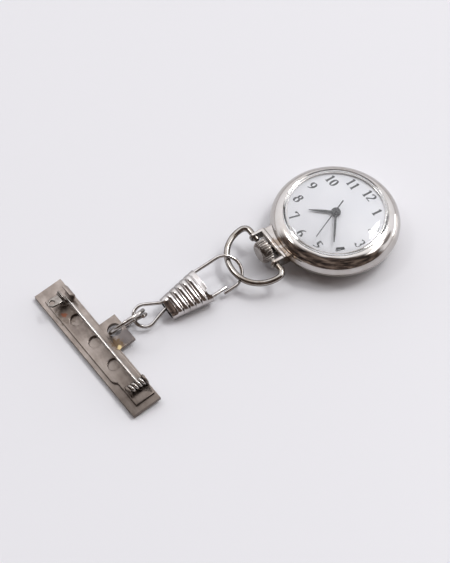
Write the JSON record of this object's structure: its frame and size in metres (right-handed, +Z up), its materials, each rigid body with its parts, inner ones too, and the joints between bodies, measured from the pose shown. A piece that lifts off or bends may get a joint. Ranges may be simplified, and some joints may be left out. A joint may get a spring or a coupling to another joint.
{
  "type": "chatelaine watch pin",
  "caption": "Nurse's fob watch hung by a bow, a spring-wire clip and a split ring from a flat bar brooch with a hinged pin and a turning catch.",
  "frame": {"origin": "middle of the box round the whole piece, on the surface that it lies on", "axes": "+X runs from the brooch to the watch, towards the dial's twelve from its six turned over the bow; +Z up, out of the dial"},
  "size_m": [0.0772, 0.0364, 0.009],
  "materials": {
    "pin_plate": "worn nickel plate with brass showing at the edges",
    "hinge_rivet": "dull nickel",
    "pin_stem": "polished spring wire",
    "catch_roller": "worn nickel with rust spots",
    "split_ring": "polished wire",
    "clip_wire": "polished wire",
    "clip_sleeve": "polished nickel, dark in the grooves",
    "bow": "polished",
    "case_shell": "polished",
    "bezel": "polished",
    "movement": "plain",
    "dial": "white enamel paint with black numerals",
    "hour_hand": "black",
    "minute_hand": "black",
    "second_hand": "black",
    "crystal": "clear mineral glass",
    "crown_stem": "plain steel",
    "crown": "fluted, worn nickel"
  },
  "bodies": {
    "fob": {"pin_plate": "pin_plate", "hinge_rivet": "hinge_rivet", "split_ring": "split_ring", "clip_wire": "clip_wire", "clip_sleeve": "clip_sleeve", "bow": "bow", "case_shell": "case_shell", "bezel": "bezel", "movement": "movement", "dial": "dial", "crystal": "crystal"},
    "pin": {"pin_stem": "pin_stem"},
    "catch": {"catch_roller": "catch_roller"},
    "winding_stem": {"crown_stem": "crown_stem"},
    "crown": {"crown": "crown"},
    "minute_hand": {"minute_hand": "minute_hand"},
    "hour_hand": {"hour_hand": "hour_hand"},
    "second_hand": {"second_hand": "second_hand"}
  },
  "joints": [
    {"name": "pin_swing", "type": "hinge", "parent": "fob", "child": "pin", "pos_m": [-0.03161, -0.01327, 0.00288], "axis": [0.9902, 0.0797, 0.1149], "range_deg": [0, 75]},
    {"name": "catch_turn", "type": "hinge", "parent": "fob", "child": "catch", "pos_m": [-0.03379, 0.01274, 0.00359], "axis": [-0.0802, 0.9968, 0], "range_deg": [0, 75]},
    {"name": "crown_pull", "type": "slide", "parent": "fob", "child": "winding_stem", "axis": [-1, 0, 0], "range_m": [0, 0.0009]},
    {"name": "crown_turn", "type": "hinge", "parent": "winding_stem", "child": "crown", "pos_m": [0.00719, -0.00062, 0.0042], "axis": [-1, 0, 0], "continuous": true},
    {"name": "minute_turn", "type": "hinge", "parent": "fob", "child": "minute_hand", "pos_m": [0.02454, -0.00212, 0.0069], "axis": [0, 0, -1], "continuous": true},
    {"name": "hour_turn", "type": "hinge", "parent": "fob", "child": "hour_hand", "pos_m": [0.02454, -0.00212, 0.0065], "axis": [0, 0, -1], "continuous": true},
    {"name": "second_turn", "type": "hinge", "parent": "fob", "child": "second_hand", "pos_m": [0.02454, -0.00212, 0.0073], "axis": [0, 0, -1], "continuous": true}
  ],
  "couplings": [
    {"joint": "hour_turn", "follows": "minute_turn", "ratio": 0.083333}
  ]
}
